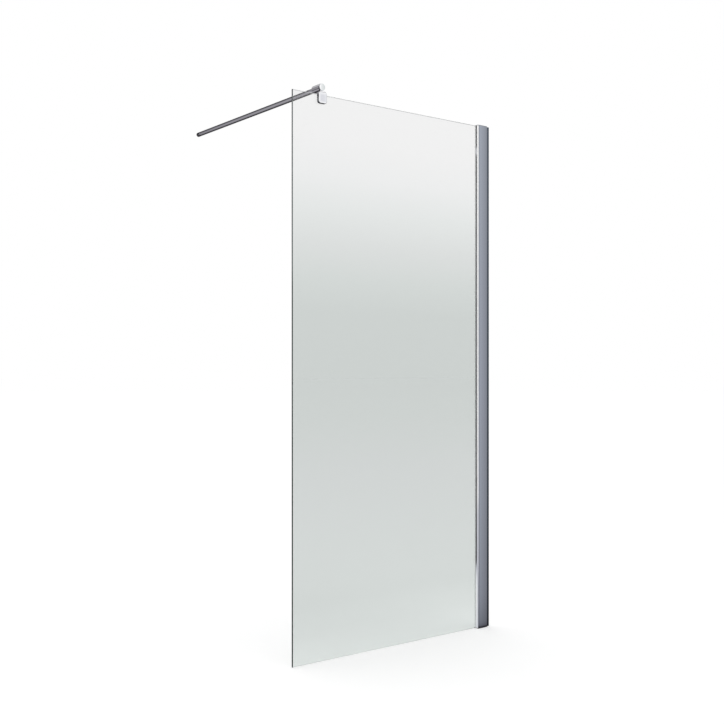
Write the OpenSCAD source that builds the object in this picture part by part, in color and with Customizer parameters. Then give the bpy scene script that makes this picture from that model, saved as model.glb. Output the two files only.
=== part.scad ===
// Walk-in shower screen: a glass panel in an adjustable wall profile, braced by a bar to the side wall.
// X runs towards the wall that carries the profile, Y into the shower, Z up.
// The origin is on that wall, level with the foot of the glass and in the middle of its thickness.

/* [Glass] */
// Height of the glass and of the profile that holds it
screen_h = 1900; // [1500:10:2200]
// From the wall to the free edge of the glass, as it stands
screen_w = 890; // [600:1:1400]
// Thickness of the glass
glass_t = 6; // [5:0.5:10]
// Polished chamfer along every edge of the glass
glass_chamfer = 0.8; // [0.3:0.1:1.5]

/* [Wall profile] */
// Width of the profile that slides on the wall channel
profile_w = 46.5; // [40:0.5:60]
// Wall thickness of that profile
profile_wall = 1.4; // [1.2:0.1:2.5]
// Rise of the gently arched front face
profile_crown = 0.6; // [0.3:0.1:1.2]
// Rounding of the profile's two edges beside the glass
profile_corner = 2; // [1:0.25:3]
// Gap between the sliding profile and the wall, as it stands
profile_gap = 11.5; // [8:0.5:14]
// How far the screen can be drawn out of the channel
travel_out = 10; // [6:0.5:12]
// Depth of the pocket that takes the glass
pocket_depth = 16; // [13:0.5:20]
// Wall thickness of that pocket
pocket_wall = 1.2; // [1:0.1:2]
// Thickness of the channel's two flanges
channel_wall = 1.4; // [1.2:0.1:2]
// Thickness of the channel's back, against the wall
channel_back = 2; // [1.5:0.1:3]
// Diameter of the holes for the wall screws
wall_hole_d = 6; // [4:0.5:8]
// From either end of the screen to the end wall screws and adjusting screws
end_inset = 100; // [60:5:200]
// Thickness of the end caps, above and below the glass
cap_t = 2; // [1.5:0.5:5]
// Length of the cap's legs inside the profile
cap_leg_l = 10; // [6:1:20]

/* [Glazing seals] */
// Thickness of the seal between glass and pocket
seal_t = 1.6; // [1.2:0.1:2.5]
// Width of the lip that shows on the front of the glass
seal_lip_w = 3.5; // [3:0.5:8]
// Width of the rim that shows on its back
seal_rim_w = 1.5; // [1:0.5:3]
// Thickness of that lip at its thin edge
seal_lip_t = 0.6; // [0.4:0.1:1]
// Depth of the seal inside the pocket
seal_depth = 9; // [6:0.5:12]
// Height of each packer behind the edge of the glass
packer_h = 60; // [30:5:100]
// Thickness of each packer
packer_t = 2.5; // [1.5:0.5:4]

/* [Adjusting screws] */
// Diameter of the adjusting screws
adjust_d = 4; // [3:0.5:5]
// Diameter of their heads
adjust_head_d = 7.6; // [6:0.2:10]
// Thickness of their heads
adjust_head_t = 2.4; // [1.8:0.1:3]
// Thickness of the nut plates that slide in the channel
nut_t = 2.7; // [2:0.1:4]
// Width of a nut plate
nut_w = 10; // [8:0.5:12]
// Height of a nut plate
nut_h = 16; // [12:1:24]
// Thickness of the snap-on screw covers
cover_t = 1; // [0.8:0.1:1.5]

/* [Glass clamp] */
// From the free edge of the glass to the middle of the clamp
clamp_inset = 114; // [60:1:300]
// Width of the jaw in front of the glass
jaw_w = 34.5; // [28:0.5:50]
// How far the front jaw reaches down the glass
jaw_drop = 32; // [28:0.5:50]
// How far the front jaw stands above the glass
jaw_rise = 6.5; // [5:0.5:7]
// Thickness of the front jaw
jaw_t = 10.5; // [8:0.5:12]
// Corner radius of the jaw's foot
jaw_foot_r = 8.5; // [5:0.5:12]
// Corner radius of the jaw's shoulders
jaw_shoulder_r = 7; // [5:0.5:9]
// Rounding of the jaw's front edge
jaw_edge_r = 1.5; // [0.8:0.1:2]
// Width of the neck between jaw and barrel
neck_w = 14; // [10:1:18]
// Fillet where the neck meets the jaw
neck_fillet = 3; // [1:0.5:3]
// Width of the lug behind the glass
lug_w = 12; // [10:1:14]
// Thickness of that lug
lug_t = 7; // [5:0.5:9]
// How far the lug reaches down the glass
lug_drop = 21; // [18:0.5:26]
// Thickness of the rubber pads
pad_t = 0.8; // [0.5:0.1:1.5]
// Thickness of the pressure plate
plate_t = 2; // [1.5:0.1:3]
// Height of the pressure plate
plate_h = 16; // [12:1:20]
// Diameter of the clamping screw
clamp_screw_d = 6; // [5:0.5:6]
// From the top of the glass down to the clamping screw
clamp_screw_drop = 12; // [10:0.5:14]

/* [Support bar] */
// Outer diameter of the bar
bar_d = 17; // [14:0.5:22]
// Wall thickness of the bar
bar_wall = 1.5; // [1:0.1:2]
// From the middle of the glass to the wall that holds the bar's far end
bar_wall_y = 857; // [500:1:1200]
// Height of the bar's centreline above the glass
bar_rise = 22; // [20:0.5:26]
// Mean wall thickness of the clamp's barrel
barrel_wall = 4.45; // [3.5:0.05:5.5]
// How much higher the barrel's centreline is than the bar's, for more thread at the set screw
barrel_lift = 1.5; // [0:0.1:2]
// How far the boss in front of the barrel stands back from the front of the jaw
boss_setback = 6; // [4:0.1:8]
// Length of that boss
boss_l = 3.6; // [2:0.1:5]
// How much less its radius is than the barrel's
boss_step = 1.1; // [0.5:0.1:2]
// How far the barrel reaches behind the middle of the glass
barrel_l = 36; // [30:1:60]
// Room for the bar to slide further into the barrel
bar_play = 8; // [5:0.5:8]
// Thickness of the barrel's closed end
barrel_end_t = 5.6; // [4.5:0.1:8]
// Thickness of the cap on the boss
barrel_cap_t = 2.4; // [1.8:0.1:3]
// Diameter of the set screw that holds the bar
set_screw_d = 5; // [4:0.5:5]
// From the open end of the barrel to that set screw
set_screw_inset = 10; // [8:1:14]

/* [Wall fixing of the bar] */
// Length of the spigot inside the bar
spigot_l = 32; // [30:1:60]
// Thickness of the spigot's flange
spigot_flange_t = 3; // [2:0.5:5]
// Thickness of the gasket against the wall
gasket_t = 2.5; // [1:0.5:4]
// Diameter of the hole for the wall screw
spigot_hole_d = 5; // [4:0.5:6]
// Length of that hole, up to the pocket for the screw's head
spigot_hole_l = 8; // [5:0.5:12]
// Diameter of the pocket for the screw's head
spigot_pocket_d = 9; // [8:0.5:9.5]
// Diameter of the spigot's set screw
spigot_screw_d = 4; // [3:0.5:4]
// From the wall to that set screw
spigot_screw_y = 25; // [20:1:30]

/* [Hidden] */
$fn = 48;
fit_gap = 0.3;      // between pieces that slide on each other
bar_clearance = 0.05;   // radial, between the bar and the barrel
peg_clearance = 0.05;   // radial, between a screw or peg and its hole
cut = 1;            // how far a cutting shape runs past the surface
facets = 32;        // facets of the pieces inside a hull
slide_stop = 1.5;   // left between the sliding profile and the wall, pushed right in
sunk = 0.3;         // how far a set screw stands below its surface

// Depths across the glass, from its middle outwards
glass_half = glass_t / 2;
pocket_half = glass_half + seal_t;
pocket_outer = pocket_half + pocket_wall;
nut_inner = pocket_outer + fit_gap;
nut_outer = nut_inner + nut_t;
flange_inner = nut_outer + fit_gap;
flange_outer = flange_inner + channel_wall;
cavity_half = flange_outer + fit_gap;
profile_half = cavity_half + profile_wall;

// Distances from the wall
profile_far = profile_gap + profile_w;
pocket_floor = profile_far - pocket_depth;
glass_edge = pocket_floor + packer_t;
travel_in = profile_gap - slide_stop;
cap_leg_w = 3.6;
flange_l = profile_far - profile_wall - cap_leg_w - 2 * fit_gap - travel_in;
adjust_slot_r = adjust_d / 2 + fit_gap;
slot_margin = 2;
adjust_x = flange_l - slot_margin - adjust_slot_r - travel_out;

// Heights of the repeated fixings
fixing_z = [end_inset, screen_h / 2, screen_h - end_inset];
adjust_offset = 50;
adjust_z = [end_inset + adjust_offset, screen_h / 2 + adjust_offset, screen_h - end_inset - adjust_offset];

// Clamp and bar, from the middle of the glass and from its top
jaw_inner = glass_half + fit_gap + pad_t;
jaw_front = jaw_inner + jaw_t;
pad_z = fit_gap;
bridge_z = fit_gap + pad_t;
plate_inner = glass_half + fit_gap + pad_t;
plate_outer = plate_inner + plate_t;
lug_inner = plate_outer + fit_gap;
lug_outer = lug_inner + lug_t;
bar_r = bar_d / 2;
barrel_bore_r = bar_r + bar_clearance;
barrel_r = barrel_bore_r + barrel_wall;
boss_front = jaw_front - boss_setback;
boss_r = barrel_r - boss_step;
barrel_floor = -boss_front + barrel_end_t;
bar_start = barrel_floor + bar_play;
set_screw_y = barrel_l - set_screw_inset;
tube_r = bar_r - bar_wall;
spigot_r = tube_r - peg_clearance;
bar_end = bar_wall_y - gasket_t - spigot_flange_t;
cap_peg_r = 5;
cap_peg_l = 3;

// A round bar along Y from y0 to y1
module rod_y(r, y0, y1) {
    translate([0, y0, 0]) rotate([-90, 0, 0]) cylinder(r = r, h = y1 - y0);
}

// An outline drawn in X and Z, made solid from y0 to y1
module plate_y(y0, y1) {
    translate([0, y1, 0]) rotate([90, 0, 0]) linear_extrude(y1 - y0) children();
}

// Places its children at the clamp, with Z from the top of the glass
module at_clamp() {
    translate([clamp_inset - screen_w, 0, screen_h]) children();
}

// Places its children on the bar's centreline above the middle of the glass
module at_bar() {
    at_clamp() translate([0, 0, bar_rise]) children();
}

// Places its children on the barrel's own centreline
module at_barrel() {
    at_bar() translate([0, 0, barrel_lift]) children();
}

// A hexagon socket, sunk by depth into the face at y = 0
module hex_socket_y(across, depth) {
    rotate([-90, 0, 0]) translate([0, 0, -cut]) cylinder(d = across / cos(30), h = depth + cut, $fn = 6);
}

// Outer line of the sliding profile, rounded beside the glass and arched in front
module profile_outline() {
    arch_w = profile_w - 2 * profile_corner;
    arch_r = (arch_w * arch_w / 4 + profile_crown * profile_crown) / (2 * profile_crown);
    translate([-profile_far + profile_corner, -profile_half])
        square([profile_w - profile_corner, 2 * profile_half]);
    translate([-profile_far, -profile_half + profile_corner])
        square([profile_w, 2 * (profile_half - profile_corner)]);
    for (side = [-1, 1])
        translate([-profile_far + profile_corner, side * (profile_half - profile_corner)])
            circle(r = profile_corner);
    intersection() {
        translate([-profile_far + profile_corner, -profile_half - profile_crown])
            square([arch_w, profile_crown + profile_wall / 2]);
        translate([-profile_far + profile_w / 2, arch_r - profile_half - profile_crown])
            circle(r = arch_r, $fn = 360);
    }
}

// Section of the sliding profile: a shell with the pocket for the glass inside
module profile_section() {
    difference() {
        union() {
            difference() {
                profile_outline();
                translate([-profile_far + profile_wall, -cavity_half])
                    square([profile_w, 2 * cavity_half]);
            }
            translate([-profile_far + profile_wall / 2, -pocket_outer])
                square([pocket_depth + pocket_wall - profile_wall / 2, 2 * pocket_outer]);
        }
        translate([-profile_far - cut, -pocket_half])
            square([pocket_depth + cut, 2 * pocket_half]);
    }
}

// Section of the wall channel: a back and two flanges
module channel_section() {
    translate([-channel_back, -flange_outer]) square([channel_back, 2 * flange_outer]);
    for (side = [-1, 1])
        translate([-flange_l, side * (flange_inner + channel_wall / 2) - channel_wall / 2])
            square([flange_l, channel_wall]);
}

// Channel screwed to the wall, with long holes for the adjusting screws in its rear flange
module wall_channel() {
    slot_near = adjust_x - travel_in;
    slot_far = adjust_x + travel_out;
    color([0.36, 0.39, 0.43]) difference() {
        translate([0, 0, fit_gap]) linear_extrude(screen_h - 2 * fit_gap) channel_section();
        for (z = fixing_z)
            translate([-channel_back - cut, 0, z]) rotate([0, 90, 0])
                cylinder(d = wall_hole_d, h = channel_back + 2 * cut);
        for (z = adjust_z) translate([0, 0, z]) {
            for (x = [-slot_near, -slot_far])
                translate([x, 0, 0]) rod_y(adjust_slot_r, flange_inner - cut, flange_outer + cut);
            translate([-slot_far, flange_inner - cut, -adjust_slot_r])
                cube([slot_far - slot_near, channel_wall + 2 * cut, 2 * adjust_slot_r]);
        }
    }
}

// Sliding profile that carries the glass and hides the channel
module glass_profile() {
    color([0.62, 0.65, 0.7]) difference() {
        linear_extrude(screen_h) profile_section();
        for (z = adjust_z)
            translate([-adjust_x, 0, z])
                rod_y(adjust_d / 2 + peg_clearance, cavity_half - cut, profile_half + cut);
    }
}

// End cap drawn at the foot: a plate under the profile and two legs that push in
module end_cap() {
    translate([0, 0, -cap_t]) linear_extrude(cap_t) profile_outline();
    for (side = [-1, 1])
        translate([-profile_far + profile_wall + peg_clearance,
            side * (pocket_outer + cavity_half) / 2 - (cavity_half - pocket_outer) / 2 + peg_clearance, 0])
            cube([cap_leg_w, cavity_half - pocket_outer - 2 * peg_clearance, cap_leg_l]);
}

module profile_top_cap() {
    color([0.45, 0.47, 0.5]) translate([0, 0, screen_h]) mirror([0, 0, 1]) end_cap();
}

module profile_bottom_cap() {
    color([0.25, 0.27, 0.29]) end_cap();
}

// Section of a chamfered slab, glass_t thick, from u0 to u1
module glass_section(u0, u1) {
    polygon([
        [u0, -glass_half + glass_chamfer], [u0 + glass_chamfer, -glass_half],
        [u1 - glass_chamfer, -glass_half], [u1, -glass_half + glass_chamfer],
        [u1, glass_half - glass_chamfer], [u1 - glass_chamfer, glass_half],
        [u0 + glass_chamfer, glass_half], [u0, glass_half - glass_chamfer]
    ]);
}

// Tempered glass with polished, chamfered edges all round
module glass_panel() {
    color([0.8, 0.85, 0.83, 0.6]) intersection() {
        linear_extrude(screen_h) glass_section(-screen_w, -glass_edge);
        translate([-screen_w - cut, 0, 0]) rotate([0, 90, 0]) mirror([1, 0, 0])
            linear_extrude(screen_w) glass_section(0, screen_h);
    }
}

// Seal on the front of the glass: a strip in the pocket and a tapering lip, lip_w wide, on the glass
module glazing_seal(lip_w) {
    linear_extrude(screen_h) polygon([
        [-profile_far + seal_depth, -glass_half],
        [-profile_far - lip_w, -glass_half],
        [-profile_far - lip_w, -glass_half - seal_lip_t],
        [-profile_far - lip_w / 3, -pocket_half],
        [-profile_far + seal_depth, -pocket_half]
    ]);
}

module front_glazing_seal() {
    color([0.4, 0.4, 0.42]) glazing_seal(seal_lip_w);
}

module rear_glazing_seal() {
    color([0.4, 0.4, 0.42]) mirror([0, 1, 0]) glazing_seal(seal_rim_w);
}

// Packers between the edge of the glass and the floor of the pocket
module edge_packers() {
    color([0.3, 0.3, 0.32])
        for (z = fixing_z)
            translate([-glass_edge, -glass_half, z - packer_h / 2])
                cube([packer_t, glass_t, packer_h]);
}

// Screws through the profile and the channel's long holes, driven from inside the shower
module adjusting_screws() {
    color([0.75, 0.75, 0.76])
        for (z = adjust_z)
            translate([-adjust_x, 0, z]) difference() {
                union() {
                    rod_y(adjust_d / 2, nut_inner, profile_half);
                    translate([0, profile_half, 0]) rotate([-90, 0, 0]) rotate_extrude() polygon(concat(
                        [[0, 0], [adjust_head_d / 2, 0]],
                        [for (a = [0:15:90]) [
                            adjust_head_d / 2 - adjust_head_t / 2 * (1 - cos(a)),
                            adjust_head_t / 2 * (1 + sin(a))]],
                        [[0, adjust_head_t]]
                    ));
                }
                translate([0, profile_half + adjust_head_t, 0]) mirror([0, 1, 0])
                    hex_socket_y(adjust_d * 0.6, adjust_head_t * 0.6);
            }
}

// Nut plates inside the channel
module sliding_nuts() {
    color([0.6, 0.6, 0.6])
        for (z = adjust_z)
            translate([-adjust_x, 0, z]) difference() {
                translate([-nut_w / 2, nut_inner, -nut_h / 2]) cube([nut_w, nut_t, nut_h]);
                rod_y(adjust_d / 2 + peg_clearance, nut_inner - cut, nut_outer + cut);
            }
}

// Domed covers over the screw heads
module screw_covers() {
    cover_r = adjust_head_d / 2 + cover_t + fit_gap;
    cover_h = adjust_head_t + cover_t + fit_gap;
    dome_r = cover_h * 0.6;
    color([0.8, 0.82, 0.84])
        for (z = adjust_z)
            translate([-adjust_x, profile_half, z]) rotate([-90, 0, 0]) rotate_extrude() polygon(concat(
                [[cover_r - cover_t, 0], [cover_r, 0]],
                [for (a = [0:15:90]) [cover_r - dome_r * (1 - cos(a)), cover_h - dome_r * (1 - sin(a))]],
                [[0, cover_h], [0, cover_h - cover_t], [cover_r - cover_t, cover_h - cover_t]]
            ));
}

// A corner of the front jaw: a disc with a rounded front edge
module jaw_corner(x, z, r) {
    translate([x, -jaw_inner, z]) rotate([90, 0, 0]) rotate_extrude($fn = facets) polygon(concat(
        [[0, 0], [r, 0]],
        [for (a = [0:22.5:90]) [r - jaw_edge_r * (1 - cos(a)), jaw_t - jaw_edge_r * (1 - sin(a))]],
        [[0, jaw_t]]
    ));
}

// Jaw in front of the glass, rounded at foot and shoulders
module front_jaw() {
    foot_x = jaw_w / 2 - jaw_foot_r;
    shoulder_x = jaw_w / 2 - jaw_shoulder_r;
    hull() for (side = [-1, 1]) {
        jaw_corner(side * foot_x, jaw_foot_r - jaw_drop, jaw_foot_r);
        jaw_corner(side * shoulder_x, jaw_rise - jaw_shoulder_r, jaw_shoulder_r);
    }
}

// Neck over the glass, filleted where it stands on the front jaw
module neck() {
    plate_y(-boss_front, lug_outer) translate([-neck_w / 2, bridge_z])
        square([neck_w, bar_rise - bridge_z]);
    plate_y(-boss_front, -jaw_inner) for (side = [0, 1]) mirror([side, 0])
        translate([neck_w / 2 - neck_fillet, jaw_rise - neck_fillet]) difference() {
            square([2 * neck_fillet, 2 * neck_fillet]);
            translate([2 * neck_fillet, 2 * neck_fillet]) circle(r = neck_fillet);
        }
}

// Lug behind the glass, with the thread of the clamping screw
module rear_lug() {
    plate_y(lug_inner, lug_outer) {
        translate([-lug_w / 2, lug_w / 2 - lug_drop]) square([lug_w, lug_drop - lug_w / 2 + bridge_z + cut]);
        translate([0, lug_w / 2 - lug_drop]) circle(d = lug_w);
    }
}

// Barrel that takes the bar, chamfered behind, with a smaller boss that closes its front
module barrel() {
    chamfer = 1;
    translate([0, 0, bar_rise + barrel_lift]) {
        rod_y(boss_r, -boss_front, -boss_front + boss_l);
        rod_y(barrel_r, -boss_front + boss_l, barrel_l - chamfer);
        translate([0, barrel_l - chamfer, 0]) rotate([-90, 0, 0])
            cylinder(r1 = barrel_r, r2 = barrel_r - chamfer, h = chamfer);
    }
}

// Cast clamp: front jaw, neck, rear lug and barrel in one piece
module clamp_body() {
    color([0.86, 0.87, 0.9]) at_clamp() difference() {
        union() {
            front_jaw();
            neck();
            rear_lug();
            barrel();
        }
        translate([0, 0, bar_rise]) {
            rod_y(barrel_bore_r, barrel_floor, barrel_l + cut);
            translate([0, set_screw_y, 0])
                cylinder(d = set_screw_d + 2 * peg_clearance, h = barrel_lift + barrel_r + cut);
        }
        translate([0, 0, bar_rise + barrel_lift])
            rod_y(cap_peg_r + peg_clearance, -boss_front - cut, -boss_front + cap_peg_l + fit_gap);
        translate([0, 0, -clamp_screw_drop])
            rod_y(clamp_screw_d / 2 + peg_clearance, lug_inner - cut, lug_outer + cut);
    }
}

// Crowned cap on the boss in front of the barrel, with a shadow groove behind its rim
module barrel_cap() {
    groove = 0.5;
    rim = 1.3;
    crown = 0.4;
    color([0.93, 0.94, 0.96]) at_barrel() translate([0, -boss_front, 0]) rotate([90, 0, 0])
        rotate_extrude() polygon(concat(
            [[0, -cap_peg_l], [cap_peg_r, -cap_peg_l], [cap_peg_r, 0],
                [boss_r - 2 * groove, 0], [boss_r - 2 * groove, groove], [boss_r, groove]],
            [for (a = [0:15:90]) [boss_r - rim * (1 - cos(a)), barrel_cap_t - rim * (1 - sin(a))]],
            [[0, barrel_cap_t + crown]]
        ));
}

// Pad between jaw and glass, turned over the top of the glass under the neck
module front_clamp_pad() {
    pad_w = jaw_w - 2;
    color([0.25, 0.26, 0.27]) at_clamp() {
        plate_y(-jaw_inner, -jaw_inner + pad_t) {
            translate([-pad_w / 2, jaw_foot_r - jaw_drop]) square([pad_w, jaw_drop - jaw_foot_r]);
            translate([-pad_w / 2 + jaw_foot_r, 1 - jaw_drop]) square([pad_w - 2 * jaw_foot_r, jaw_drop - 1]);
            for (side = [-1, 1])
                translate([side * (pad_w / 2 - jaw_foot_r + 1), jaw_foot_r - jaw_drop]) circle(r = jaw_foot_r - 1);
            translate([-neck_w / 2, 0]) square([neck_w, bridge_z]);
        }
        translate([-neck_w / 2, -jaw_inner + pad_t / 2, pad_z])
            cube([neck_w, jaw_inner + glass_half - pad_t / 2, pad_t]);
    }
}

// Pad between pressure plate and glass
module rear_clamp_pad() {
    color([0.25, 0.26, 0.27]) at_clamp()
        translate([-lug_w / 2, glass_half + fit_gap, -clamp_screw_drop - plate_h / 2])
            cube([lug_w, pad_t, plate_h]);
}

// Plate that spreads the load of the clamping screw, with a seat for its tip
module pressure_plate() {
    color([0.7, 0.7, 0.72]) at_clamp() translate([0, 0, -clamp_screw_drop]) difference() {
        translate([-lug_w / 2, plate_inner, -plate_h / 2]) cube([lug_w, plate_t, plate_h]);
        rod_y(clamp_screw_d / 2 + peg_clearance, plate_outer - plate_t / 3, plate_outer + cut);
    }
}

// Clamping screw through the rear lug, its tip in the pressure plate
module clamp_screw() {
    color([0.7, 0.7, 0.72]) at_clamp() translate([0, 0, -clamp_screw_drop]) difference() {
        rod_y(clamp_screw_d / 2, plate_outer - plate_t / 3, lug_outer - sunk);
        translate([0, lug_outer - sunk, 0]) mirror([0, 1, 0]) hex_socket_y(clamp_screw_d / 2, clamp_screw_d / 2);
    }
}

// Set screw on top of the barrel
module bar_set_screw() {
    screw_low = bar_r + fit_gap;
    screw_high = barrel_lift + barrel_r - 2 * sunk;
    color([0.7, 0.7, 0.72]) at_bar() translate([0, set_screw_y, 0]) difference() {
        translate([0, 0, screw_low]) cylinder(d = set_screw_d, h = screw_high - screw_low);
        translate([0, 0, screw_high]) rotate([90, 0, 0]) mirror([0, 1, 0])
            hex_socket_y(set_screw_d / 2, set_screw_d / 3);
    }
}

// Tube from the barrel to the wall spigot
module support_bar() {
    color([0.5, 0.5, 0.54]) at_bar() difference() {
        rod_y(bar_r, bar_start, bar_end);
        rod_y(tube_r, bar_start - cut, bar_end + cut);
        translate([0, bar_wall_y - spigot_screw_y, 0]) rotate([0, -90, 0])
            cylinder(d = spigot_screw_d + 4 * peg_clearance, h = bar_r + cut);
    }
}

// Spigot screwed to the side wall, inside the end of the tube
module wall_spigot() {
    flange_y = bar_wall_y - gasket_t;
    chamfer = 1;
    color([0.35, 0.36, 0.38]) at_bar() difference() {
        union() {
            rod_y(bar_r, bar_end, flange_y);
            rod_y(spigot_r, bar_end - spigot_l + chamfer, bar_end);
            translate([0, bar_end - spigot_l + chamfer, 0]) rotate([90, 0, 0])
                cylinder(r1 = spigot_r, r2 = spigot_r - chamfer, h = chamfer);
        }
        rod_y(spigot_hole_d / 2, bar_end - spigot_l - cut, flange_y + cut);
        rod_y(spigot_pocket_d / 2, bar_end - spigot_l - cut, flange_y - spigot_hole_l);
        translate([0, bar_wall_y - spigot_screw_y, 0]) rotate([0, -90, 0])
            cylinder(d = spigot_screw_d + 2 * peg_clearance, h = bar_r);
    }
}

// Set screw that holds the tube on the spigot
module spigot_set_screw() {
    screw_in = spigot_pocket_d / 2 + sunk;
    screw_out = bar_r - sunk;
    color([0.8, 0.8, 0.82]) at_bar() translate([0, bar_wall_y - spigot_screw_y, 0]) difference() {
        translate([-screw_out, 0, 0]) rotate([0, 90, 0]) cylinder(d = spigot_screw_d, h = screw_out - screw_in);
        translate([-screw_out, 0, 0]) rotate([0, 0, -90]) hex_socket_y(spigot_screw_d / 2, spigot_screw_d / 2);
    }
}

// Rubber gasket between spigot and wall
module wall_gasket() {
    color([0.1, 0.1, 0.11]) at_bar() difference() {
        rod_y(bar_r, bar_wall_y - gasket_t, bar_wall_y);
        rod_y(spigot_hole_d / 2 + 0.5, bar_wall_y - gasket_t - cut, bar_wall_y + cut);
    }
}

wall_channel();
glass_profile();
profile_top_cap();
profile_bottom_cap();
glass_panel();
front_glazing_seal();
rear_glazing_seal();
edge_packers();
adjusting_screws();
sliding_nuts();
screw_covers();
clamp_body();
barrel_cap();
front_clamp_pad();
rear_clamp_pad();
pressure_plate();
clamp_screw();
bar_set_screw();
support_bar();
wall_spigot();
spigot_set_screw();
wall_gasket();
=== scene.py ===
import math

import bpy
from mathutils import Matrix, Vector


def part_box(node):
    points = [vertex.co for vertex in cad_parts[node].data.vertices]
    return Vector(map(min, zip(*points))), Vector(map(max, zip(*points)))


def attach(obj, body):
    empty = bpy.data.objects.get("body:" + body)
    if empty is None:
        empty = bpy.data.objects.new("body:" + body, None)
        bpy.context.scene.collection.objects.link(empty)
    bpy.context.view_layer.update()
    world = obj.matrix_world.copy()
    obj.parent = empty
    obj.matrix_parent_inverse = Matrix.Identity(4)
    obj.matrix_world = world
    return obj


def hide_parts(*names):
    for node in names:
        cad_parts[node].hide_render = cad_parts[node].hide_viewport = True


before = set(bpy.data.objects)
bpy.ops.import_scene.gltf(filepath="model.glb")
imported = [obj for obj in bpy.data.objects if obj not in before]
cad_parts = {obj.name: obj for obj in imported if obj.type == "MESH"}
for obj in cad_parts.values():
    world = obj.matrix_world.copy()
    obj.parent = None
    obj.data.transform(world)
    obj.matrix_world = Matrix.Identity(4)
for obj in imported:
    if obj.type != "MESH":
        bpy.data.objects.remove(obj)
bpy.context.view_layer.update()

# The wall channel is extruded aluminium, bright anodised, screwed upright to the wall. From
# the room only its side between the wall and the sliding profile shows. That side carries
# painted shade for the shade of the profile, dark and darker towards the floor. Its back
# lies on the wall and keeps the metal's own light colour.


def linear(r, g, b):
    """A colour as a screen shows it, 0 to 255, in the renderer's own numbers."""
    out = []
    for value in (r, g, b):
        c = value / 255
        out.append(c / 12.92 if c <= 0.04045 else ((c + 0.055) / 1.055) ** 2.4)
    return (*out, 1.0)


def new_finish(name, metallic, roughness):
    """A new material, with its node tree and its shader."""
    material = bpy.data.materials.new(name)
    material.use_nodes = True
    shader = material.node_tree.nodes["Principled BSDF"]
    shader.inputs["Metallic"].default_value = metallic
    shader.inputs["Roughness"].default_value = roughness
    return material, material.node_tree, shader


def place_in_model(tree):
    """The X, Y and Z of a point of the model, in metres."""
    point = tree.nodes.new("ShaderNodeTexCoord")
    split = tree.nodes.new("ShaderNodeSeparateXYZ")
    tree.links.new(point.outputs["Object"], split.inputs[0])
    return split.outputs


def between(tree, value, low, high, start=0.0, end=1.0):
    """A number that goes from start to end while value goes from low to high, and stays there."""
    reach = tree.nodes.new("ShaderNodeMapRange")
    reach.inputs["From Min"].default_value = low
    reach.inputs["From Max"].default_value = high
    reach.inputs["To Min"].default_value = start
    reach.inputs["To Max"].default_value = end
    tree.links.new(value, reach.inputs["Value"])
    return reach.outputs["Result"]


def facing(tree, axis, start, full):
    """How far a face is turned along an axis, from 0 at start to 1 at full."""
    point = tree.nodes.new("ShaderNodeTexCoord")
    split = tree.nodes.new("ShaderNodeSeparateXYZ")
    tree.links.new(point.outputs["Normal"], split.inputs[0])
    return between(tree, split.outputs[axis], start, full)


def shades(tree, value, stops):
    """Colours along a value. Each stop is a value, in metres for a place, and its colour."""
    first = stops[0][0]
    last = stops[-1][0]
    ramp = tree.nodes.new("ShaderNodeValToRGB")
    while len(ramp.color_ramp.elements) < len(stops):
        ramp.color_ramp.elements.new(0.5)
    for element, (level, colour) in zip(ramp.color_ramp.elements, stops):
        element.position = (level - first) / (last - first)
        element.color = colour
    tree.links.new(between(tree, value, first, last), ramp.inputs["Fac"])
    return ramp.outputs["Color"]


DRAWN_OUT = 0.003


def fine_noise(tree, size, along=None, detail=2.0):
    """Noise of a given size in metres, drawn out along one axis for an extruded piece."""
    point = tree.nodes.new("ShaderNodeTexCoord")
    stretch = tree.nodes.new("ShaderNodeMapping")
    stretch.inputs["Scale"].default_value = [DRAWN_OUT if axis == along else 1 for axis in "XYZ"]
    tree.links.new(point.outputs["Object"], stretch.inputs["Vector"])
    noise = tree.nodes.new("ShaderNodeTexNoise")
    noise.inputs["Scale"].default_value = 1 / size
    noise.inputs["Detail"].default_value = detail
    tree.links.new(stretch.outputs["Vector"], noise.inputs["Vector"])
    return noise.outputs["Fac"]


NOISE_SPAN = (0.25, 0.75)


def grain(tree, shader, size, depth, spread, along=None):
    """Gives the surface a grain of a given size and depth, and lets its gloss vary by spread."""
    noise = fine_noise(tree, size, along)
    bump = tree.nodes.new("ShaderNodeBump")
    bump.inputs["Strength"].default_value = 1
    bump.inputs["Distance"].default_value = depth
    tree.links.new(noise, bump.inputs["Height"])
    tree.links.new(bump.outputs["Normal"], shader.inputs["Normal"])
    roughness = shader.inputs["Roughness"].default_value
    gloss = between(tree, noise, *NOISE_SPAN, roughness, roughness + spread)
    tree.links.new(gloss, shader.inputs["Roughness"])


def blend(tree, share, first, second, mode="MIX"):
    """The first colour where share is 0, and the second where it is 1."""
    mix = tree.nodes.new("ShaderNodeMix")
    mix.data_type = "RGBA"
    mix.blend_type = mode
    sockets = (mix.inputs["Factor"], mix.inputs["A"], mix.inputs["B"])
    for socket, value in zip(sockets, (share, first, second)):
        if isinstance(value, bpy.types.NodeSocket):
            tree.links.new(value, socket)
        else:
            socket.default_value = value
    return mix.outputs["Result"]


PATCH_SPAN = (0.3, 0.7)


def cloudy(tree, colour, size, lowest, along=None):
    """A colour with soft darker patches, down to lowest of its strength."""
    patches = between(tree, fine_noise(tree, size, along, detail=3.0), *PATCH_SPAN, lowest, 1.0)
    grey = tree.nodes.new("ShaderNodeCombineColor")
    for channel in ("Red", "Green", "Blue"):
        tree.links.new(patches, grey.inputs[channel])
    return blend(tree, 1.0, colour, grey.outputs["Color"], "MULTIPLY")


def dress(node, material):
    """Gives a CAD node its finish."""
    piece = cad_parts[node]
    piece.data.materials.clear()
    piece.data.materials.append(material)
    return piece


# Painted shade: the channel's side gets darker towards the floor.
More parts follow.
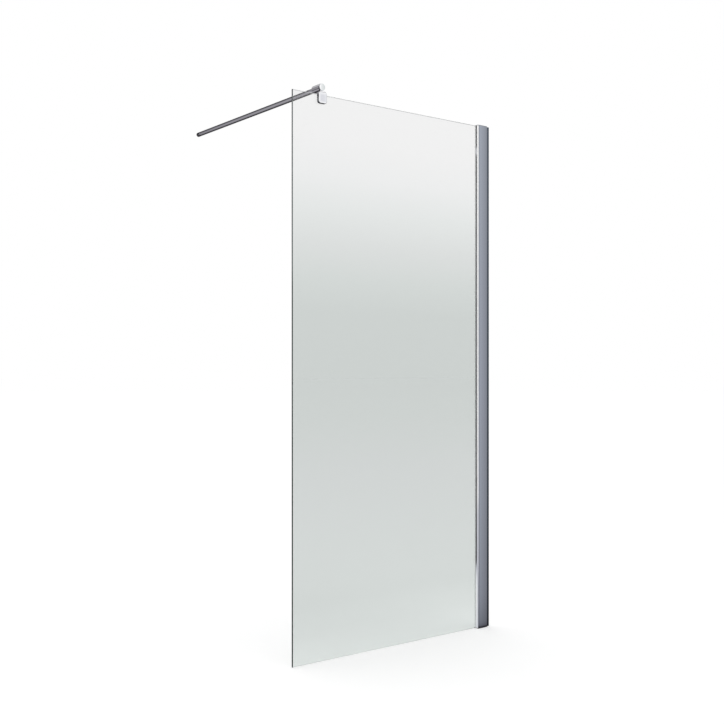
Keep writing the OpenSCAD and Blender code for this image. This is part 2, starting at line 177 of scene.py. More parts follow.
CHANNEL_PAINTED_SHADE = [
    (0.0, linear(22, 24, 31)),
    (0.1, linear(34, 37, 45)),
    (0.5, linear(51, 58, 66)),
    (1.1, linear(66, 74, 82)),
    (1.9, linear(80, 87, 97)),
]
CHANNEL_BACK_SHADE = linear(150, 154, 163)
channel_metal, tree, shader = new_finish("channel_metal", metallic=1, roughness=0.22)
channel_colour = shades(tree, place_in_model(tree)["Z"], CHANNEL_PAINTED_SHADE)
# Faces turned to the wall keep the metal's own light colour.
towards_wall = facing(tree, "X", start=0.5, full=0.8)
channel_colour = blend(tree, towards_wall, channel_colour, CHANNEL_BACK_SHADE)
channel_colour = cloudy(tree, channel_colour, size=0.004, lowest=0.92, along="Z")
tree.links.new(channel_colour, shader.inputs["Base Color"])
grain(tree, shader, size=0.0006, depth=0.00001, spread=0.08, along="Z")
dress("wall_channel", channel_metal)

# The sliding profile is extruded aluminium, brushed lengthways and anodised. It slides on
# the channel and holds the glass in its pocket. Its arched front is the broad grey face, with
# painted shade that darkens it towards the floor and away from the nose, and black at the
# foot. Its nose beside the glass is non-metallic and almost white, a painted highlight, and
# the corner beside it has a painted highlight above and painted shade low down.

# Painted shade: the face darkens towards the floor and is black at its foot.
FACE_PAINTED_SHADE = [
    (0.0, linear(18, 18, 23)),
    (0.004, linear(48, 49, 56)),
    (0.008, linear(104, 106, 116)),
    (0.03, linear(115, 119, 129)),
    (0.12, linear(131, 135, 146)),
    (0.5, linear(144, 149, 160)),
    (0.9, linear(151, 156, 168)),
    (1.9, linear(161, 167, 178)),
]
# Painted highlight on the front of the nose, almost white, a little darker from 0.2 to 0.4 m.
NOSE_PAINTED_HIGHLIGHT = [
    (0.0, linear(246, 248, 254)),
    (0.15, linear(246, 248, 254)),
    (0.22, linear(226, 227, 236)),
    (0.4, linear(228, 229, 237)),
    (0.5, linear(255, 255, 255)),
    (1.9, linear(255, 255, 255)),
]
# Painted highlight on the corner above half a metre, painted shade below it, black at the foot.
CORNER_PAINTED_HIGHLIGHT_AND_SHADE = [
    (0.0, linear(12, 12, 16)),
    (0.004, linear(50, 52, 58)),
    (0.009, linear(124, 127, 138)),
    (0.15, linear(134, 137, 148)),
    (0.25, linear(200, 202, 212)),
    (0.45, linear(206, 208, 217)),
    (0.5, linear(246, 247, 252)),
    (1.9, linear(255, 255, 255)),
]
WHITE = (1, 1, 1, 1)
profile_low, profile_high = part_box("glass_profile")
# Painted shade across the face, lightest beside the nose and darker towards the wall.
ACROSS_FACE_PAINTED_SHADE = [
    (0.0, linear(230, 229, 229)),
    (0.006, linear(230, 229, 229)),
    (0.009, WHITE),
    (0.012, WHITE),
    (profile_high.x - profile_low.x, (0.7, 0.69, 0.69, 1)),
]
NOSE_FROM = 0.0001
NOSE_TO = 0.0004
CORNER_FROM = 0.002
CORNER_TO = 0.0026
FRONT_NOSE_ENDS = 0.001


def past(tree, value, start):
    """How far a value is past a start, in metres."""
    return between(tree, value, start, start + 1)


profile_metal, tree, shader = new_finish("profile_metal", metallic=1, roughness=0.2)
place = place_in_model(tree)
face_colour = shades(tree, place["Z"], FACE_PAINTED_SHADE)
across_face = shades(tree, past(tree, place["X"], profile_low.x), ACROSS_FACE_PAINTED_SHADE)
face_colour = blend(tree, 1.0, face_colour, across_face, "MULTIPLY")
corner_colour = shades(tree, place["Z"], CORNER_PAINTED_HIGHLIGHT_AND_SHADE)
behind_glass = between(tree, place["Y"], -FRONT_NOSE_ENDS, FRONT_NOSE_ENDS)
nose_colour = blend(tree, behind_glass, shades(tree, place["Z"], NOSE_PAINTED_HIGHLIGHT), WHITE)
past_nose = between(tree, place["X"], profile_low.x + NOSE_FROM, profile_low.x + NOSE_TO)
past_corner = between(tree, place["X"], profile_low.x + CORNER_FROM, profile_low.x + CORNER_TO)
profile_colour = blend(tree, past_nose, nose_colour, corner_colour)
profile_colour = blend(tree, past_corner, profile_colour, face_colour)
profile_colour = cloudy(tree, profile_colour, size=0.005, lowest=0.95, along="Z")
tree.links.new(profile_colour, shader.inputs["Base Color"])
bare_metal = blend(tree, behind_glass, past_corner, WHITE)
tree.links.new(bare_metal, shader.inputs["Metallic"])
grain(tree, shader, size=0.0005, depth=0.000008, spread=0.08, along="Z")
dress("glass_profile", profile_metal)

# The end caps are moulded plastic, pushed into the ends of the profile above and below the
# glass. The top one is grey, the bottom one stands on the tray and looks almost black.


def moulded_plastic(name, light, dark, roughness, grain_size=0.0004, shine=0.5):
    """Moulded plastic between two near shades, with a fine moulded grain."""
    material, tree, shader = new_finish(name, metallic=0, roughness=roughness)
    shader.inputs["Specular IOR Level"].default_value = shine
    low, high = PATCH_SPAN
    shade = shades(tree, fine_noise(tree, size=0.006), [(low, dark), (high, light)])
    tree.links.new(shade, shader.inputs["Base Color"])
    grain(tree, shader, grain_size, depth=0.00002, spread=0.12)
    return material


grey_plastic = moulded_plastic(
    "top_cap_plastic", linear(126, 129, 136), linear(116, 119, 127), roughness=0.4)
black_plastic = moulded_plastic(
    "bottom_cap_plastic", linear(16, 16, 20), linear(8, 8, 11), roughness=0.4, shine=0.1)
dress("profile_top_cap", grey_plastic)
dress("profile_bottom_cap", black_plastic)

# The glass is 6 mm of clear tempered float glass with ground and polished edges. Its tint is
# a painted reflection, almost white at the top and grey-green lower down. Its free edge is a
# dark green line, with painted shade that makes it almost black below about half way up.
# Under the top edge a painted grey band stands in for the edge's reflection.

# Painted reflection in the tint of the pane, by height.
GLASS_PAINTED_REFLECTION = [
    (0.0, linear(225, 230, 228)),
    (0.05, linear(220, 225, 223)),
    (0.1, linear(214, 219, 217)),
    (0.2, linear(206, 211, 209)),
    (0.62, linear(204, 208, 207)),
    (0.82, linear(201, 206, 204)),
    (1.17, linear(203, 208, 206)),
    (1.28, linear(209, 214, 212)),
    (1.4, linear(218, 221, 220)),
    (1.52, linear(227, 230, 229)),
    (1.64, linear(236, 237, 237)),
    (1.76, linear(240, 240, 240)),
    (1.9, linear(241, 241, 241)),
]
# Dark green edge, with painted shade that makes it almost black low down.
EDGE_TINT_AND_PAINTED_SHADE = [
    (0.0, linear(4, 7, 6)),
    (0.55, linear(4, 7, 6)),
    (0.62, linear(24, 30, 29)),
    (0.85, linear(26, 32, 31)),
    (0.95, linear(42, 48, 47)),
    (1.26, linear(42, 48, 47)),
    (1.31, linear(88, 96, 95)),
    (1.9, linear(90, 98, 97)),
]
EDGE_GLOSS = linear(10, 10, 10)
EDGE_DEPTH = 0.0018
EDGE_SOFTNESS = 0.8
# Painted grey band from about 1 to 3 mm under the top edge, for the edge's reflection.
TOP_EDGE_PAINTED_LINE = linear(204, 205, 206)
TOP_LINE_LOW = 0.0028
TOP_LINE_HIGH = 0.0008
TOP_LINE_SOFTNESS = 0.9
glass_low, glass_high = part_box("glass_panel")

clear_glass, tree, shader = new_finish("clear_glass", metallic=0, roughness=0)
shader.inputs["Transmission Weight"].default_value = 1
shader.inputs["IOR"].default_value = 1.45
place = place_in_model(tree)
pane_colour = shades(tree, place["Z"], GLASS_PAINTED_REFLECTION)
under_top = between(
    tree, place["Z"], glass_high.z - TOP_LINE_LOW, glass_high.z - TOP_LINE_SOFTNESS * TOP_LINE_LOW)
at_top = between(
    tree, place["Z"], glass_high.z - TOP_LINE_HIGH, glass_high.z - EDGE_SOFTNESS * TOP_LINE_HIGH)
top_colour = blend(tree, at_top, TOP_EDGE_PAINTED_LINE, WHITE)
pane_colour = blend(tree, under_top, pane_colour, top_colour)
past_edge = between(
    tree, place["X"], glass_low.x + EDGE_SOFTNESS * EDGE_DEPTH, glass_low.x + EDGE_DEPTH)
glass_colour = blend(tree, past_edge, shades(tree, place["Z"], EDGE_TINT_AND_PAINTED_SHADE), pane_colour)
tree.links.new(glass_colour, shader.inputs["Base Color"])
edge_gloss = blend(tree, past_edge, EDGE_GLOSS, WHITE)
tree.links.new(edge_gloss, shader.inputs["Specular Tint"])
grain(tree, shader, size=0.09, depth=0.000004, spread=0.004)
glass = dress("glass_panel", clear_glass)
glass.visible_shadow = False

# The glazing seals are pushed in between the glass and the pocket. The one in front is dark
# rubber, the dark line beside the profile. Its light band near the top and its pale stretch at
# the foot are painted reflections, and the rest of its darkness changes with height as
# painted shade. The one behind is clear soft plastic.

# Dark rubber with painted reflections near the top and at the foot, and painted shade by height.
SEAL_RUBBER_AND_PAINTED_REFLECTION = [
    (0.0, linear(242, 244, 248)),
    (0.1, linear(254, 254, 255)),
    (0.18, linear(250, 252, 255)),
    (0.225, linear(206, 208, 215)),
    (0.24, linear(150, 152, 160)),
    (0.25, linear(34, 34, 41)),
    (0.5, linear(50, 50, 56)),
    (1.1, linear(64, 64, 69)),
    (1.65, linear(36, 36, 42)),
    (1.72, linear(22, 22, 27)),
    (1.733, linear(8, 8, 11)),
    (1.76, linear(26, 26, 31)),
    (1.785, linear(50, 50, 55)),
    (1.798, linear(206, 207, 213)),
    (1.812, linear(150, 151, 157)),
    (1.825, linear(30, 30, 35)),
    (1.9, linear(24, 24, 29)),
]
seal_rubber, tree, shader = new_finish("seal_rubber", metallic=0, roughness=0.55)
shader.inputs["Specular IOR Level"].default_value = 0.3
seal_colour = shades(tree, place_in_model(tree)["Z"], SEAL_RUBBER_AND_PAINTED_REFLECTION)
seal_colour = cloudy(tree, seal_colour, size=0.003, lowest=0.9, along="Z")
tree.links.new(seal_colour, shader.inputs["Base Color"])
grain(tree, shader, size=0.0004, depth=0.00002, spread=0.15, along="Z")
clear_plastic = moulded_plastic(
    "clear_soft_plastic", linear(244, 246, 246), linear(236, 238, 238), roughness=0.3)
dress("front_glazing_seal", seal_rubber)
dress("rear_glazing_seal", clear_plastic)

# The packers are blocks of grey plastic between the edge of the glass and the floor of the
# profile's pocket. They carry the glass sideways, so that it never touches the metal.

packer_plastic = moulded_plastic(
    "packer_plastic", linear(92, 94, 98), linear(78, 80, 84), roughness=0.5, grain_size=0.0008)
dress("edge_packers", packer_plastic)

# The adjusting screws are stainless steel. They go through the back of the profile and the
# long holes of the channel into zinc-plated nut plates. Snap-on covers hide their heads.


def machined_metal(name, light, dark, roughness):
    """Steel or zinc of two near shades, a little uneven, with fine tool marks."""
    material, tree, shader = new_finish(name, metallic=1, roughness=roughness)
    low, high = PATCH_SPAN
    shade = shades(tree, fine_noise(tree, size=0.0015), [(low, dark), (high, light)])
    tree.links.new(shade, shader.inputs["Base Color"])
    grain(tree, shader, size=0.0002, depth=0.000006, spread=0.15)
    return material


screw_steel = machined_metal(
    "screw_steel", linear(205, 205, 208), linear(186, 186, 190), roughness=0.25)
zinc_plate = machined_metal(
    "zinc_plate", linear(184, 187, 190), linear(158, 162, 166), roughness=0.35)
cover_plastic = moulded_plastic(
    "cover_plastic", linear(196, 200, 206), linear(184, 188, 195), roughness=0.25)
dress("adjusting_screws", screw_steel)
dress("sliding_nuts", zinc_plate)
dress("screw_covers", cover_plastic)

# The clamp is cast in one piece, ground, polished and chromed. A jaw in front of the glass
# carries a neck over the top of the glass, a lug behind it and the barrel for the bar.
# Its edges and inner corners are soft, its bore and its screw holes are drilled afterwards.
# Its colour is painted reflection and shade: a light front, dark sides banded by height,
# light faces turned up, and light and dark bands along the barrel.

clamp_low, clamp_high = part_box("clamp_body")
cap_low, cap_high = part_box("barrel_cap")
bar_low, bar_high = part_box("support_bar")
SCREEN_HEIGHT = glass_high.z
CLAMP_X = (clamp_low.x + clamp_high.x) / 2
CLAMP_FRONT = clamp_low.y
BARREL_Z = (cap_low.z + cap_high.z) / 2
BARREL_RADIUS = clamp_high.z - BARREL_Z
BOSS_RADIUS = (cap_high.z - cap_low.z) / 2
BAR_Z = (bar_low.z + bar_high.z) / 2
JAW_WIDTH = clamp_high.x - clamp_low.x
JAW_THICKNESS = 0.0105
JAW_RISE = 0.0065
JAW_CROWN = [(0.002, 0), (0.0008, 0.0006), (0.0003, 0.0025), (0, 0.008)]
JAW_FOOT_RADIUS = 0.0085
SHOULDER_RADIUS = 0.007
SHARP_RADIUS = 0.0004
NECK_WIDTH = 0.014
NECK_FOOT_WIDTH = 0.027
NECK_FOOT_RISE = 0.0035
NECK_FOOT_SETBACK = 0.0015
LUG_WIDTH = 0.012
LUG_FRONT = 0.0064
LUG_BACK = 0.0134
LUG_DROP = 0.021
LUG_RISE = 0.004
LUG_FOOT_RADIUS = 0.0058
BRIDGE_UNDERSIDE = 0.0011
BOSS_SETBACK = 0.006
BOSS_LENGTH = 0.0036
BARREL_FRONT_EDGE = 0.0004
BARREL_BACK_EDGE = 0.001
CASTING_DETAIL = 0.0004
BORE_RADIUS = 0.00855
BORE_FLOOR = -0.003
BORE_MOUTH = [(0, -0.0006), (0.0009, 0.0003), (0.0009, 0.002)]
CLAMP_SCREW_DROP = 0.012
CLAMP_SCREW_RADIUS = 0.00305
SET_SCREW_Y = 0.026
SET_SCREW_RADIUS = 0.00255
PAST_METAL = 0.001


def new_piece(name, mesh):
    """Puts a mesh into the scene as a piece of its own."""
    piece = bpy.data.objects.new(name, mesh)
    bpy.context.collection.objects.link(piece)
    return piece


def skin(name, rings):
    """A closed solid through rings of equal numbers of points, with flat ends."""
    count = len(rings[0])
    points = [point for ring in rings for point in ring]
    faces = [tuple(reversed(range(count)))]
    for k in range(len(rings) - 1):
        for i in range(count):
            j = (i + 1) % count
            faces.append((k * count + i, k * count + j, (k + 1) * count + j, (k + 1) * count + i))
    faces.append(tuple(range((len(rings) - 1) * count, len(rings) * count)))
    mesh = bpy.data.meshes.new(name)
    mesh.from_pydata(points, [], faces)
    mesh.validate()
    return new_piece(name, mesh)


def turned(name, level, outline, segments=64):
    """A turned solid along Y at a level above the floor. The outline gives radius and Y."""
    angles = [2 * math.pi * k / segments for k in range(segments)]
    rings = []
    for radius, y in outline:
        ring = [(CLAMP_X + radius * math.sin(a), y, level + radius * math.cos(a)) for a in angles]
        rings.append(ring)
    return skin(name, rings)


def rounded_outline(width, low, high, low_radius, high_radius, steps=8):
    """A plate's outline in X and Z, with one radius at its foot and one at its shoulders."""
    outline = []
    for side, level, radius, start in (
        (1, high, high_radius, 0), (-1, high, high_radius, 90),
        (-1, low, low_radius, 180), (1, low, low_radius, 270),
    ):
        centre_x = side * (width / 2 - radius)
        centre_z = level - radius if level == high else level + radius
        for k in range(steps + 1):
            a = math.radians(start + 90 * k / steps)
            outline.append((centre_x + radius * math.cos(a), centre_z + radius * math.sin(a)))
    return outline


def plate(name, outline, layers):
    """A plate of that outline, centred on the clamp. Each layer gives Y and an inset."""
    width = max(x for x, z in outline) - min(x for x, z in outline)
    low = min(z for x, z in outline)
    high = max(z for x, z in outline)
    middle = (low + high) / 2
    rings = []
    for y, inset in layers:
        across = 1 - 2 * inset / width
        upright = 1 - 2 * inset / (high - low)
        rings.append([(CLAMP_X + x * across, y, middle + (z - middle) * upright) for x, z in outline])
    return skin(name, rings)


def finished_mesh(piece):
    """Applies the modifiers of a piece."""
    shape = piece.evaluated_get(bpy.context.evaluated_depsgraph_get())
    mesh = bpy.data.meshes.new_from_object(shape)
    piece.modifiers.clear()
    piece.data = mesh


def joined(name, parts):
    """One piece from several overlapping solids."""
    points = []
    faces = []
    for part in parts:
        start = len(points)
        points += [tuple(vertex.co) for vertex in part.data.vertices]
        faces += [tuple(start + index for index in face.vertices) for face in part.data.polygons]
        bpy.data.objects.remove(part)
    mesh = bpy.data.meshes.new(name)
    mesh.from_pydata(points, [], faces)
    return new_piece(name, mesh)


jaw_back = CLAMP_FRONT + JAW_THICKNESS
boss_front = CLAMP_FRONT + BOSS_SETBACK
barrel_front = boss_front + BOSS_LENGTH
over_glass = SCREEN_HEIGHT + BRIDGE_UNDERSIDE
jaw_top = SCREEN_HEIGHT + JAW_RISE

jaw_shape = rounded_outline(JAW_WIDTH, clamp_low.z, jaw_top, JAW_FOOT_RADIUS, SHOULDER_RADIUS)
jaw_front = [(CLAMP_FRONT + depth, inset) for depth, inset in JAW_CROWN]
jaw = plate("jaw", jaw_shape, [(jaw_back, 0)] + jaw_front)
neck_shape = rounded_outline(
    NECK_WIDTH, over_glass, BAR_Z, SHARP_RADIUS, SHARP_RADIUS, steps=2)
neck = plate("neck", neck_shape, [(boss_front, 0), (LUG_BACK, 0)])
neck_foot_shape = rounded_outline(
    NECK_FOOT_WIDTH, over_glass, jaw_top + NECK_FOOT_RISE, SHARP_RADIUS, SHOULDER_RADIUS)
neck_foot = plate(
    "neck_foot", neck_foot_shape, [(CLAMP_FRONT + NECK_FOOT_SETBACK, 0), (jaw_back, 0)])
lug_shape = rounded_outline(
    LUG_WIDTH, SCREEN_HEIGHT - LUG_DROP, SCREEN_HEIGHT + LUG_RISE, LUG_FOOT_RADIUS, SHARP_RADIUS)
lug = plate("lug", lug_shape, [(LUG_FRONT, 0), (LUG_BACK, 0)])
boss = turned("boss", BARREL_Z, [(BOSS_RADIUS, boss_front), (BOSS_RADIUS, barrel_front + PAST_METAL)])
barrel = turned("barrel", BARREL_Z, [
    (BARREL_RADIUS - BARREL_FRONT_EDGE, barrel_front),
    (BARREL_RADIUS, barrel_front + BARREL_FRONT_EDGE),
    (BARREL_RADIUS, clamp_high.y - BARREL_BACK_EDGE),
    (BARREL_RADIUS - BARREL_BACK_EDGE, clamp_high.y),
])
clamp = joined("glass_clamp", [jaw, neck, neck_foot, lug, boss, barrel])
casting = clamp.modifiers.new("casting", "REMESH")
casting.mode = "VOXEL"
casting.voxel_size = CASTING_DETAIL
polish = clamp.modifiers.new("polish", "SMOOTH")
polish.factor = 0.5
polish.iterations = 10
finished_mesh(clamp)

bore_mouth = [(BORE_RADIUS + wider, clamp_high.y + past_end) for wider, past_end in BORE_MOUTH]
bore = turned("bore", BAR_Z, [(BORE_RADIUS, BORE_FLOOR)] + bore_mouth)
screw_hole = turned(
    "screw_hole",
    SCREEN_HEIGHT - CLAMP_SCREW_DROP,
    [(CLAMP_SCREW_RADIUS, LUG_FRONT - PAST_METAL), (CLAMP_SCREW_RADIUS, LUG_BACK + PAST_METAL)],
    segments=32,
)
top_hole = turned(
    "top_hole",
    BARREL_Z,
    [(SET_SCREW_RADIUS, 0), (SET_SCREW_RADIUS, BARREL_RADIUS + PAST_METAL)],
    segments=32,
)

# The hole for the set screw is made lying down and then stood up in the top of the barrel.
centre = Vector((CLAMP_X, 0, BARREL_Z))
stand_up = (
    Matrix.Translation(centre + Vector((0, SET_SCREW_Y, 0)))
    @ Matrix.Rotation(math.radians(90), 4, "X")
    @ Matrix.Translation(-centre)
)
top_hole.data.transform(stand_up)
for cutter in (bore, screw_hole, top_hole):
    drill = clamp.modifiers.new(cutter.name, "BOOLEAN")
    drill.operation = "DIFFERENCE"
    drill.solver = "EXACT"
    drill.object = cutter
finished_mesh(clamp)
for cutter in (bore, screw_hole, top_hole):
    bpy.data.objects.remove(cutter)
clamp.data.polygons.foreach_set("use_smooth", [True] * len(clamp.data.polygons))
clamp.data.set_sharp_from_angle(angle=math.radians(40))


def chrome(name, roughness, wave_size, wave_depth, edge_tint, along=None):
    """Chrome plating, a little wavy from polishing. Its colour comes from the caller."""
    material, tree, shader = new_finish(name, metallic=1, roughness=roughness)
    shader.inputs["Specular Tint"].default_value = (edge_tint, edge_tint, edge_tint, 1)
    grain(tree, shader, wave_size, wave_depth, spread=0.05, along=along)
    return material, tree, shader


# Painted reflection across the jaw's front, lightest on the side of the free edge.
JAW_PAINTED_REFLECTION_ACROSS = [
    (0.0, linear(255, 255, 255)),
    (0.003, linear(252, 252, 254)),
    (0.006, linear(232, 233, 238)),
    (0.01, linear(220, 221, 227)),
    (0.02, linear(222, 223, 229)),
    (0.03, linear(230, 231, 236)),
]
# Painted reflection up the jaw's front, lightest at the foot and the top.
JAW_PAINTED_REFLECTION_UPWARDS = [
    (0.0, linear(254, 254, 255)),
    (0.003, linear(248, 248, 251)),
    (0.007, linear(228, 229, 234)),
    (0.012, linear(218, 219, 225)),
    (0.026, linear(218, 219, 225)),
    (0.033, linear(238, 239, 242)),
    (0.0385, linear(250, 250, 252)),
]
# Painted shade on the sides, banded by height.
SIDE_PAINTED_SHADE = [
    (0.0, linear(82, 83, 87)),
    (0.0035, linear(74, 75, 79)),
    (0.007, linear(112, 114, 116)),
    (0.0115, linear(124, 126, 128)),
    (0.018, linear(104, 105, 108)),
    (0.026, linear(72, 73, 76)),
    (0.031, linear(124, 124, 128)),
    (0.035, linear(150, 150, 154)),
    (0.038, linear(62, 60, 66)),
    (0.044, linear(52, 50, 56)),
    (0.048, linear(62, 60, 66)),
    (0.055, linear(80, 78, 84)),
    (0.0655, linear(190, 189, 194)),
]
# Painted reflection: faces turned up, and the cap's rim away from the free edge, are light.
LIGHT_PAINTED_REFLECTION = linear(238, 238, 242)
SEAM = 0.0002
# Painted reflection in bands along the barrel, by height.
BARREL_PAINTED_REFLECTION = [
    (0.0, linear(128, 126, 132)),
    (0.04, linear(110, 108, 114)),
    (0.0425, linear(52, 50, 56)),
    (0.0437, linear(52, 50, 56)),
    (0.0454, linear(92, 89, 96)),
    (0.0475, linear(170, 168, 174)),
    (0.0497, linear(80, 78, 84)),
    (0.0515, linear(118, 116, 122)),
    (0.0532, linear(154, 152, 158)),
    (0.0563, linear(128, 126, 132)),
    (0.0602, linear(204, 203, 207)),
    (0.0655, linear(216, 215, 219)),
    (0.0685, linear(226, 226, 229)),
]
clamp_chrome, tree, shader = chrome(
    "clamp_chrome", roughness=0.08, wave_size=0.003, wave_depth=0.000005, edge_tint=0.5)
place = place_in_model(tree)
rise = past(tree, place["Z"], clamp_low.z)
across_jaw = shades(tree, past(tree, place["X"], clamp_low.x), JAW_PAINTED_REFLECTION_ACROSS)
front_colour = blend(tree, 1.0, across_jaw, shades(tree, rise, JAW_PAINTED_REFLECTION_UPWARDS), "LIGHTEN")
upwards = facing(tree, "Z", start=0.3, full=0.7)
neck_colour = blend(tree, upwards, shades(tree, rise, SIDE_PAINTED_SHADE), LIGHT_PAINTED_REFLECTION)
behind_boss = between(tree, place["Y"], barrel_front - SEAM, barrel_front + SEAM)
side_colour = blend(tree, behind_boss, neck_colour, shades(tree, rise, BARREL_PAINTED_REFLECTION))
to_the_front = facing(tree, "Y", start=-0.93, full=-0.98)
clamp_colour = blend(tree, to_the_front, side_colour, front_colour)
clamp_colour = cloudy(tree, clamp_colour, size=0.012, lowest=0.97)
tree.links.new(clamp_colour, shader.inputs["Base Color"])
clamp.data.materials.clear()
clamp.data.materials.append(clamp_chrome)
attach(clamp, "clamp")
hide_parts("clamp_body")

# The round cap closes the front of the barrel. It is turned brass, chromed, and pressed in
# with a peg, with a fine shadow gap behind its rim. Its face carries a painted reflection,
# lightest on the side of the free edge, and its rim painted shade on that side.

# Painted reflection across the face of the cap.
DISC_PAINTED_REFLECTION = [
    (0.0, linear(255, 255, 255)),
    (0.004, linear(250, 251, 252)),
    (0.009, linear(232, 235, 236)),
    (0.016, linear(222, 226, 226)),
    (0.024, linear(208, 213, 214)),
]
# Painted shade on the rim where it faces the free edge.
RIM_PAINTED_SHADE = linear(84, 83, 90)
cap_chrome, tree, shader = chrome(
    "cap_chrome", roughness=0.1, wave_size=0.0015, wave_depth=0.000004, edge_tint=0.5)
place = place_in_model(tree)
disc_colour = shades(tree, past(tree, place["X"], CLAMP_X - BOSS_RADIUS), DISC_PAINTED_REFLECTION)
to_free_edge = facing(tree, "X", start=-0.3, full=-0.8)
rim_colour = blend(tree, to_free_edge, LIGHT_PAINTED_REFLECTION, RIM_PAINTED_SHADE)
to_the_front = facing(tree, "Y", start=-0.85, full=-0.95)
cap_colour = blend(tree, to_the_front, rim_colour, disc_colour)
cap_colour = cloudy(tree, cap_colour, size=0.006, lowest=0.97)
tree.links.new(cap_colour, shader.inputs["Base Color"])
dress("barrel_cap", cap_chrome)

# Rubber pads lie between the clamp and the glass. A steel plate behind the rear pad takes
# the tip of the clamping screw, which is screwed through the lug from behind.

pad_rubber = moulded_plastic(
    "pad_rubber", linear(66, 68, 70), linear(52, 54, 56), roughness=0.6, grain_size=0.0003)
dress("front_clamp_pad", pad_rubber)
dress("rear_clamp_pad", pad_rubber)
dress("pressure_plate", zinc_plate)
dress("clamp_screw", screw_steel)
dress("bar_set_screw", screw_steel)

# The support bar is a drawn tube, ground lengthways, polished and chromed. It pushes into
# the barrel at one end and over the wall spigot at the other. Its colour is painted
# reflection in bands around it by height, lighter on its upper side beside the barrel,
# with painted shade that darkens it towards the wall end.

# Painted shade along the bar, darkest at the wall end.
BAR_PAINTED_SHADE_ALONG = [
    (0.0, linear(164, 162, 169)),
    (0.2, linear(162, 160, 167)),
    (0.6, linear(156, 154, 161)),
    (0.825, linear(146, 144, 151)),
    (0.838, linear(110, 108, 114)),
    (0.852, linear(32, 30, 35)),
]
# Painted reflection in bands around the bar, by height.
BAR_PAINTED_REFLECTION_ROUND = [
    (0.0, linear(100, 100, 100)),
    (0.0005, linear(112, 112, 112)),
    (0.0015, linear(146, 146, 146)),
    (0.0027, linear(216, 216, 216)),
    (0.0041, linear(246, 246, 246)),
    (0.0056, linear(250, 250, 250)),
    (0.0077, linear(232, 232, 232)),
    (0.0092, linear(180, 180, 180)),
    (0.0112, linear(140, 140, 140)),
    (0.0144, linear(140, 140, 140)),
    (0.017, linear(255, 255, 255)),
]
# Painted reflection of the barrel on the bar's upper side.
BY_BARREL_PAINTED_REFLECTION = linear(158, 156, 162)
BY_BARREL_NEAR = 0.015
BY_BARREL_FAR = 0.03
UPPER_SIDE_FROM = 0.0077
UPPER_SIDE_FULL = 0.0112
bar_chrome, tree, shader = chrome(
    "bar_chrome", roughness=0.12, wave_size=0.0008, wave_depth=0.000003, edge_tint=0.4, along="Y")
place = place_in_model(tree)
round_bar = shades(tree, past(tree, place["Z"], bar_low.z), BAR_PAINTED_REFLECTION_ROUND)
bar_colour = blend(tree, 1.0, shades(tree, place["Y"], BAR_PAINTED_SHADE_ALONG), round_bar, "MULTIPLY")
upper_side = between(tree, place["Z"], bar_low.z + UPPER_SIDE_FROM, bar_low.z + UPPER_SIDE_FULL)
by_barrel = between(
    tree, place["Y"], clamp_high.y + BY_BARREL_FAR, clamp_high.y + BY_BARREL_NEAR)
reflection = blend(tree, 1.0, upper_side, by_barrel, "MULTIPLY")
bar_colour = blend(tree, reflection, bar_colour, BY_BARREL_PAINTED_REFLECTION)
bar_colour = cloudy(tree, bar_colour, size=0.003, lowest=0.93, along="Y")
tree.links.new(bar_colour, shader.inputs["Base Color"])
dress("support_bar", bar_chrome)

# The wall spigot is die-cast zinc with a dark finish, screwed to the side wall inside the
# end of the bar. A black rubber gasket lies behind it, and a set screw locks the bar.

dark_zinc = machined_metal(
    "dark_zinc", linear(34, 34, 38), linear(24, 24, 28), roughness=0.3)
gasket_rubber = moulded_plastic(
    "gasket_rubber", linear(12, 12, 14), linear(6, 6, 8), roughness=0.6, shine=0.1)
dress("wall_spigot", dark_zinc)
dress("spigot_set_screw", screw_steel)
dress("wall_gasket", gasket_rubber)

# The studio has a plain white floor and backdrop, soft light from all round and one large
# lamp in front on the left.

FLOOR_REACH = 60
FLOOR_LEVEL = -0.0025
FLOOR_WHITE = 0.76
GLOW_NEAR = 0.3
GLOW_FAR = 0.278
GLOW_FADES_FROM = 8
GLOW_FADES_TO = 40
floor_corners = [
    (x * FLOOR_REACH, y * FLOOR_REACH, FLOOR_LEVEL) for x, y in ((-1, -1), (1, -1), (1, 1), (-1, 1))
]
floor_mesh = bpy.data.meshes.new("floor")
floor_mesh.from_pydata(floor_corners, [], [(0, 1, 2, 3)])
floor = new_piece("floor", floor_mesh)
floor_paint, tree, shader = new_finish("floor_paint", metallic=0, roughness=0.9)
shader.inputs["Base Color"].default_value = (FLOOR_WHITE, FLOOR_WHITE, FLOOR_WHITE, 1)
shader.inputs["Specular IOR Level"].default_value = 0
shader.inputs["Emission Color"].default_value = WHITE


def seen_rays(tree):
    """1 for camera rays and for what glass and metal show, 0 for light on the object."""
    rays = tree.nodes.new("ShaderNodeLightPath")
    seen = rays.outputs["Is Camera Ray"]
    for kind in ("Is Glossy Ray", "Is Transmission Ray"):
        either = tree.nodes.new("ShaderNodeMath")
        either.operation = "MAXIMUM"
        tree.links.new(seen, either.inputs[0])
        tree.links.new(rays.outputs[kind], either.inputs[1])
        seen = either.outputs[0]
    return seen


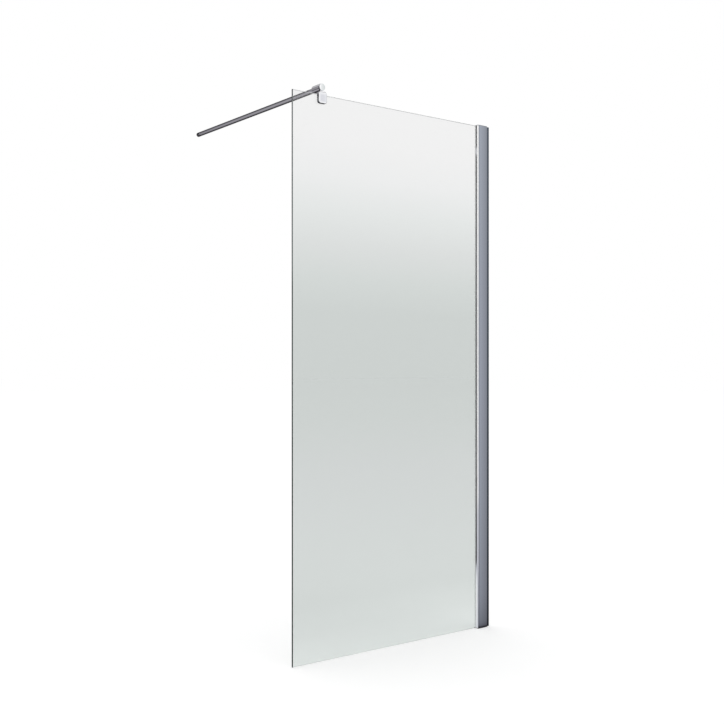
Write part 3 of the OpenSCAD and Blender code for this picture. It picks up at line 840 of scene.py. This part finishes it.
point = tree.nodes.new("ShaderNodeTexCoord")
distance = tree.nodes.new("ShaderNodeVectorMath")
distance.operation = "LENGTH"
tree.links.new(point.outputs["Object"], distance.inputs[0])
fading = between(
    tree, distance.outputs["Value"], GLOW_FADES_FROM, GLOW_FADES_TO, GLOW_NEAR, GLOW_FAR)
glow = tree.nodes.new("ShaderNodeMath")
glow.operation = "MULTIPLY"
tree.links.new(seen_rays(tree), glow.inputs[0])
tree.links.new(fading, glow.inputs[1])
tree.links.new(glow.outputs[0], shader.inputs["Emission Strength"])
floor_mesh.materials.append(floor_paint)

SKY_LIGHT = 0.95
world = bpy.data.worlds.new("studio")
bpy.context.scene.world = world
world.use_nodes = True
tree = world.node_tree
backdrop = tree.nodes["Background"]
backdrop.inputs["Color"].default_value = WHITE
tree.links.new(between(tree, seen_rays(tree), 0, 1, SKY_LIGHT, 1), backdrop.inputs["Strength"])

LAMP_SIZE = 2.5
LAMP_POWER = 35
LAMP_PLACE = Vector((-3.2, -3.0, 3.4))
LAMP_AIM = Vector((-0.4, 0, 1.2))
lamp_data = bpy.data.lights.new("soft_lamp", "AREA")
lamp_data.shape = "SQUARE"
lamp_data.size = LAMP_SIZE
lamp_data.energy = LAMP_POWER
lamp = bpy.data.objects.new("soft_lamp", lamp_data)
lamp.location = LAMP_PLACE
lamp.rotation_euler = (LAMP_AIM - LAMP_PLACE).to_track_quat("-Z", "Y").to_euler()
bpy.context.collection.objects.link(lamp)

# The camera stands level, just under a metre high, in front of the screen and out past its
# free edge. It is turned towards the wall and has a 50 mm lens.

CAMERA_PLACE = (-2.7128, -2.7642, 0.9898)
CAMERA_TURN = math.radians(-37.382)
camera_data = bpy.data.cameras.new("camera")
camera_data.lens = 50
camera_data.sensor_width = 36
camera_data.shift_y = 0.0057
camera = bpy.data.objects.new("camera", camera_data)
camera.location = CAMERA_PLACE
camera.rotation_euler = (math.radians(90), 0, CAMERA_TURN)
bpy.context.collection.objects.link(camera)
bpy.context.scene.camera = camera
bpy.context.scene.view_settings.view_transform = "Standard"
